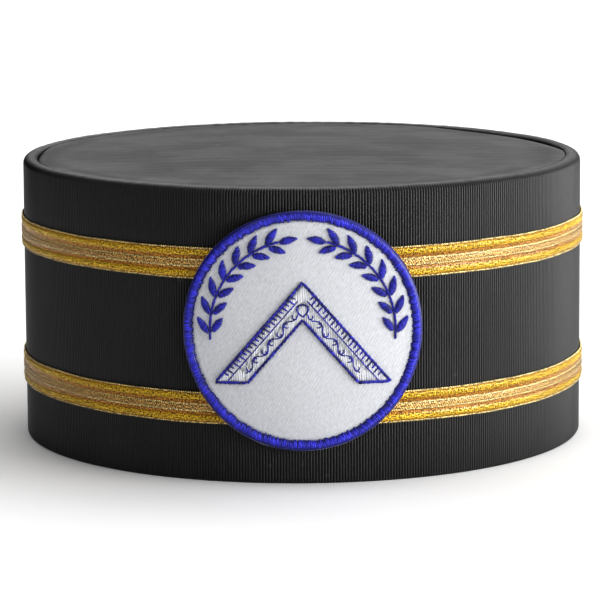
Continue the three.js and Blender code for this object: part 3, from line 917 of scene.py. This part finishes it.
class CAP_OT_patch_square(bpy.types.Operator):
    """Makes the embroidered square: its white satin filling and its blue lines"""

    bl_idname = "cap.patch_square"
    bl_label = "Patch Square"

    def filling(self, patch):
        """Threads that run almost upright across both limbs, in a few stitches each."""
        square = square_shape(patch)
        generator = np.random.default_rng(61)
        starts, ends = [], []
        reach = square.spread - 0.5 * MM
        for x in np.arange(-reach, reach, 1.5 * patch.stitch_pitch):
            high = square.apex - abs(x) * math.tan(square.slope)
            low = max(square.foot, square.inner_apex - abs(x) * math.tan(square.slope))
            parts = max(1, round((high - low) / (5.5 * MM)))
            cuts = np.linspace(high, low, parts + 1)
            cuts[1:-1] += generator.uniform(-0.9, 0.9, parts - 1) * MM
            lean = 0.06
            for upper, lower in zip(cuts, cuts[1:]):
                foot_x = x + generator.uniform(-0.05, 0.05) * MM - lean * low
                starts.append((foot_x + lean * upper, upper))
                ends.append((foot_x + lean * lower, lower))
        foot = patch.ground_thickness + 0.1 * MM
        threads = stitches(starts, ends, foot, 0.15 * MM, 0.27 * MM, steps=5, sides=6, bow=0.3)
        steps = np.arange(6)[:, None] / 6
        edges = [start + (np.array(end) - start) * steps for start, end in square_edges(square)]
        return [slab(np.concatenate(edges), patch.ground_thickness - 0.1 * MM, foot), threads]

    def line(self, points, width, stitch, generator, patch):
        """A drawn line of short stitches, each a little askew like a rope's."""
        points = np.asarray(points, float)
        run = np.concatenate([[0], np.cumsum(np.linalg.norm(np.diff(points, axis=0), axis=1))])
        count = max(1, round(run[-1] / stitch))
        cuts = np.linspace(0, run[-1], count + 1)

        def places(where):
            return np.stack([np.interp(where, run, points[:, k]) for k in (0, 1)], axis=-1)

        starts = places(np.maximum(cuts[:-1] - 0.25 * stitch, 0))
        ends = places(np.minimum(cuts[1:] + 0.25 * stitch, run[-1]))
        course = ends - starts
        sideways = np.stack([-course[:, 1], course[:, 0]], axis=-1)
        sideways /= np.maximum(np.linalg.norm(sideways, axis=1, keepdims=True), 1e-9)
        askew = sideways * width * 0.3
        radius = width / 2 * generator.uniform(0.85, 1.15, count)
        foot = patch.ground_thickness + 0.3 * MM
        return stitches(starts - askew, ends + askew, foot, 0.22 * MM, radius, steps=4, sides=5)

    def limb_drawing(self, square, side, patch):
        """The lines on one limb, each with its width and the length of its stitches: the rule, the
        ruler's ticks, and a running scroll with a curl in each of its bends."""
        limb = math.hypot(square.spread, square.apex - square.foot)
        rule, hair = patch.rule_inset, patch.hair_line
        rule_end = limb - rule / math.tan(square.slope) - 0.3 * MM
        rule_run = np.linspace(5.2 * MM, rule_end, 40)
        yield [limb_point(square, side, along, rule) for along in rule_run], hair, 1.2 * MM
        for number, along in enumerate(np.arange(5.6 * MM, limb - 3.2 * MM, patch.ruler_pitch)):
            depth = patch.long_tick if number % 2 else patch.short_tick
            tick = [limb_point(square, side, along, inwards) for inwards in (0.2 * MM, depth)]
            yield tick, patch.fine_line, 2 * MM

        middle = (rule + patch.limb_width) / 2
        begin, end = 8.0 * MM, limb - 8.5 * MM
        way = np.linspace(0, 1, 90)
        swing = 1.25 * MM * np.sin(TURN * 3.5 * way) * np.minimum(1, 6 * np.minimum(way, 1 - way) + 0.2)
        scroll = [limb_point(square, side, begin + (end - begin) * w, middle + s) for w, s in zip(way, swing)]
        yield scroll, hair, 1.1 * MM
        turn = np.linspace(0, 1.6 * math.pi, 14)
        radius = 1.1 * MM * (1 - 0.5 * turn / turn[-1])
        for bend in range(7):
            inwards = 1 if bend % 2 else -1
            along = begin + (end - begin) * (bend + 0.5) / 7
            aside = inwards * (radius * np.cos(turn) - 0.25 * MM)
            curl = zip(along + radius * np.sin(turn), middle + aside)
            yield [limb_point(square, side, *place) for place in curl], hair, 0.9 * MM

    def drawing(self, patch):
        """All the square's lines: its outline, both limbs, and a lobe at the apex."""
        square = square_shape(patch)
        for edge in square_edges(square):
            yield edge, patch.bold_line, 1.5 * MM
        for side in (-1, 1):
            yield from self.limb_drawing(square, side, patch)
        turn = np.linspace(-0.25 * math.pi, 1.25 * math.pi, 24)
        lobe_height = square.inner_apex + 3.4 * MM
        lobe = [(1.9 * MM * math.cos(t), lobe_height + 1.6 * MM * math.sin(t)) for t in turn]
        lobe_foot = (0, square.inner_apex + 0.9 * MM)
        yield [lobe_foot, *lobe, lobe_foot], patch.fine_line, 1.0 * MM

    def execute(self, context):
        patch = context.scene.cap_patch
        white, blue = patch.white_colour, patch.blue_colour
        generator = np.random.default_rng(67)
        lines = [self.line(points, width, stitch, generator, patch)
                 for points, width, stitch in self.drawing(patch)]
        white_finish = thread_finish("white_thread", tinted(white), tinted(white, 0.8), 0.35, 0.85)
        blue_finish = thread_finish("blue_lines", tinted(blue, 0.65), tinted(blue, 0.17), 0.42, 0.3)
        embroidery("square_filling", ["patch_square"], self.filling(patch), white_finish)
        embroidery("square_lines", [], lines, blue_finish)
        return {"FINISHED"}


def curve_points(start, bend, end, way):
    """Points of the curve from start to end that leans towards bend."""
    return start * (1 - way) ** 2 + 2 * bend * way * (1 - way) + end * way**2


class CAP_OT_patch_branches(bpy.types.Operator):
    """Makes the two leafy branches in satin stitch"""

    bl_idname = "cap.patch_branches"
    bl_label = "Patch Branches"

    def leaf(self, root, growth, end, patch):
        """Slanting stitches across one leaf, between its two curved edges."""
        root, growth, end = np.array(root), np.array(growth), np.array(end)
        middle = root + growth * patch.leaf_length / 2
        tip = root + growth * patch.leaf_length
        sideways = np.array([-growth[1], growth[0]]) * patch.leaf_width
        way = np.arange(0.05, 0.985, 1.3 * patch.stitch_pitch / patch.leaf_length)[:, None]
        right = curve_points(root, middle - sideways, tip, way)
        left = curve_points(end, middle + sideways, tip, np.clip(way + 0.16, 0, 1))
        return right, left

    def straight_branch(self, patch, run):
        """Where the stitches of a branch start and end, with its stem laid straight: pairs of
        leaves, one at the tip, and the stem itself."""
        edge = patch.stem_width / 2
        cos, sin = math.cos(patch.leaf_spread), math.sin(patch.leaf_spread)
        pairs = int(run / (patch.leaf_length * cos + patch.leaf_gap))
        leaves = []
        for i in range(pairs):
            along = (i + 0.3) * run / pairs
            ahead = along + patch.leaf_base
            leaves.append(((along, -edge), (cos, -sin), (ahead, -edge)))
            leaves.append(((ahead, edge), (cos, sin), (along, edge)))
        leaves.append(((run, 0), (1, 0), (run, edge)))
        starts, ends = (list(side) for side in zip(*(self.leaf(*leaf, patch) for leaf in leaves)))
        along = np.arange(0, run, patch.stitch_pitch * 1.2)
        starts.append(np.stack([along, np.full_like(along, -edge * 0.8)], axis=-1))
        ends.append(np.stack([along + 0.35 * MM, np.full_like(along, edge * 0.8)], axis=-1))
        return np.concatenate(starts), np.concatenate(ends)

    def execute(self, context):
        patch = context.scene.cap_patch
        leaf_reach = patch.stem_width / 2 + patch.leaf_length * math.sin(patch.leaf_spread)
        radius = GROUND_RADIUS - patch.branch_margin - leaf_reach
        end = math.pi / 2 - (patch.leaf_length + patch.branch_tip_gap / 2) / radius
        starts, ends = self.straight_branch(patch, radius * (end - patch.branch_start))
        generator = np.random.default_rng(71)
        starts += generator.uniform(-0.09, 0.09, starts.shape) * MM
        ends += generator.uniform(-0.09, 0.09, ends.shape) * MM
        rise = 0.15 * MM + 0.22 * np.linalg.norm(ends - starts, axis=1)
        foot = patch.ground_thickness + 0.12 * MM
        blue = patch.blue_colour
        material = thread_finish("blue_branches", tinted(blue, 0.75), tinted(blue, 0.3), 0.42, 0.5)
        for side, name in ((-1, "left"), (1, "right")):
            curved = []
            for flat in (starts, ends):
                angles = patch.branch_start + flat[:, 0] / radius
                curved.append(circle_points(radius - flat[:, 1], angles, 0.0)[:, :2] * (side, 1))
            threads = stitches(*curved, foot, rise, 0.27 * MM, steps=6, sides=5)
            embroidery(f"branch_{name}", [f"patch_branch_{name}"], [threads], material)
        return {"FINISHED"}


# How far the picture is shifted sideways and upwards, as shares of its width.
PICTURE_SHIFT = (-2.5 / 600, -11.2 / 600)

# A lamp: its place and what it is aimed at, or None for the cap's middle, in metres, its width and
# height, and its power in watts.
Lamp = namedtuple("Lamp", "name place aim size power")
LAMPS = (
    Lamp("overhead", (0.2, 1.7, 1.7), (0.1, 1.5, 0), (3.5, 2.0), 26.0),
    Lamp("back", (0.8, 2.6, 0.45), None, (2.6, 0.7), 3.5),
    Lamp("above", (0.25, 0.35, 1.3), None, (1.6, 1.4), 4.6),
    Lamp("key", (1.08, -0.5, 0.2), None, (0.8, 0.3), 8.2),
    Lamp("strip", (1.15, 0.25, 0.12), None, (0.4, 0.24), 1.7),
    Lamp("fill", (-0.8, -1.15, 1.0), None, (0.8, 0.8), 3.8),
)


class CAP_OT_stage(bpy.types.Operator):
    """Makes the pale floor, the soft lights and the camera"""

    bl_idname = "cap.stage"
    bl_label = "Stage"

    def place_camera(self, scene, stage, middle):
        camera = bpy.data.cameras.new("camera")
        camera.lens = stage.focal_length
        camera.sensor_width = 36
        camera.shift_x, camera.shift_y = PICTURE_SHIFT
        seen = bpy.data.objects.new("camera", camera)
        seen.location = (0, MIDDLE_Y - stage.camera_distance, stage.camera_height)
        turned = (middle - seen.location).to_track_quat("-Z", "Y").to_matrix()
        seen.rotation_euler = (turned @ Euler((0, 0, stage.roll)).to_matrix()).to_euler()
        scene.collection.objects.link(seen)
        scene.camera = seen

    def lay_floor(self, scene, stage):
        reach = stage.floor_reach
        corners = [(-reach, -reach, 0), (reach, -reach, 0), (reach, reach, 0), (-reach, reach, 0)]
        mesh = bpy.data.meshes.new("floor")
        mesh.from_pydata(corners, [], [(0, 1, 2, 3)])
        paper = Finish("floor_paper")
        tone = 0.98 + 0.04 * paper.noise(paper.place(), 3.0)
        mesh.materials.append(
            paper.shader(Base_Color=paper.shaded(tinted(stage.floor_colour), tone), Roughness=0.9)
        )
        floor = bpy.data.objects.new("floor", mesh)
        scene.collection.objects.link(floor)

    def light_room(self, scene):
        """A dim room that is brighter to the right, with a pale wall in front on that side."""
        room = Finish("studio", "worlds")
        sideways, backwards, upwards = room.parts(room.node("ShaderNodeTexCoord"))
        glow = room.smooth(sideways, -1.0, 1.0, 0.01, 0.28) + room.smooth(upwards, 0.08, 0.4, 0.0, 0.05)
        on_the_right = room.smooth(sideways, -0.3, 0.8)
        in_front = room.smooth(backwards, 0.35, -0.1)
        pale_wall = on_the_right * in_front * room.smooth(upwards, 0.05, 0.3, 0.0, 0.8)
        light = room.node("ShaderNodeBackground", {}, {"Color": (1, 1, 1), "Strength": glow + pale_wall})
        room.node("ShaderNodeOutputWorld", {}, {"Surface": light})
        scene.world = room.owner

    def hang_lamp(self, scene, lamp, middle):
        light = bpy.data.lights.new(lamp.name, "AREA")
        light.shape = "RECTANGLE"
        light.size, light.size_y = lamp.size
        light.energy = lamp.power
        hung = bpy.data.objects.new(lamp.name, light)
        hung.location = lamp.place
        aim = Vector(lamp.aim) if lamp.aim else middle
        hung.rotation_euler = (aim - hung.location).to_track_quat("-Z", "Y").to_euler()
        scene.collection.objects.link(hung)

    def execute(self, context):
        scene, stage = context.scene, context.scene.cap_stage
        scene.view_settings.view_transform = "Standard"
        scene.view_settings.look = "High Contrast"
        middle = Vector((0, MIDDLE_Y, stage.aim_height))
        self.place_camera(scene, stage, middle)
        self.lay_floor(scene, stage)
        self.light_room(scene)
        for lamp in LAMPS:
            self.hang_lamp(scene, lamp, middle)
        return {"FINISHED"}


PIECE_OPERATORS = (
    CAP_OT_ribbed_band,
    CAP_OT_top_panel,
    CAP_OT_gold_braids,
    CAP_OT_patch_ground,
    CAP_OT_patch_border,
    CAP_OT_patch_square,
    CAP_OT_patch_branches,
)


class CAP_PT_finishes(bpy.types.Panel):
    """Lists the cap's pieces and their sizes and colours"""

    bl_idname = "CAP_PT_finishes"
    bl_label = "Crown Cap"
    bl_space_type = "VIEW_3D"
    bl_region_type = "UI"
    bl_category = "Crown Cap"

    def draw(self, context):
        for operator in (*PIECE_OPERATORS, CAP_OT_stage):
            self.layout.operator(operator.bl_idname)
        for group in SETTINGS:
            box = self.layout.box()
            settings = getattr(context.scene, group)
            for key in settings.bl_rna.properties.keys():
                if key not in ("rna_type", "name"):
                    box.prop(settings, key)


SETTINGS = {
    "cap_cloth": ClothSettings,
    "cap_braid": BraidSettings,
    "cap_patch": PatchSettings,
    "cap_stage": StageSettings,
}
CLASSES = (*SETTINGS.values(), *PIECE_OPERATORS, CAP_OT_stage, CAP_PT_finishes)


def register():
    for each in CLASSES:
        bpy.utils.register_class(each)
    for name, group in SETTINGS.items():
        setattr(bpy.types.Scene, name, bpy.props.PointerProperty(type=group))


def unregister():
    for name in SETTINGS:
        delattr(bpy.types.Scene, name)
    for each in reversed(CLASSES):
        bpy.utils.unregister_class(each)


def main():
    register()
    bpy.ops.cap.stage()
    bpy.ops.cap.ribbed_band()
    bpy.ops.cap.top_panel()
    bpy.ops.cap.gold_braids()
    bpy.ops.cap.patch_ground()
    bpy.ops.cap.patch_border()
    bpy.ops.cap.patch_square()
    bpy.ops.cap.patch_branches()


if __name__ == "__main__":
    main()
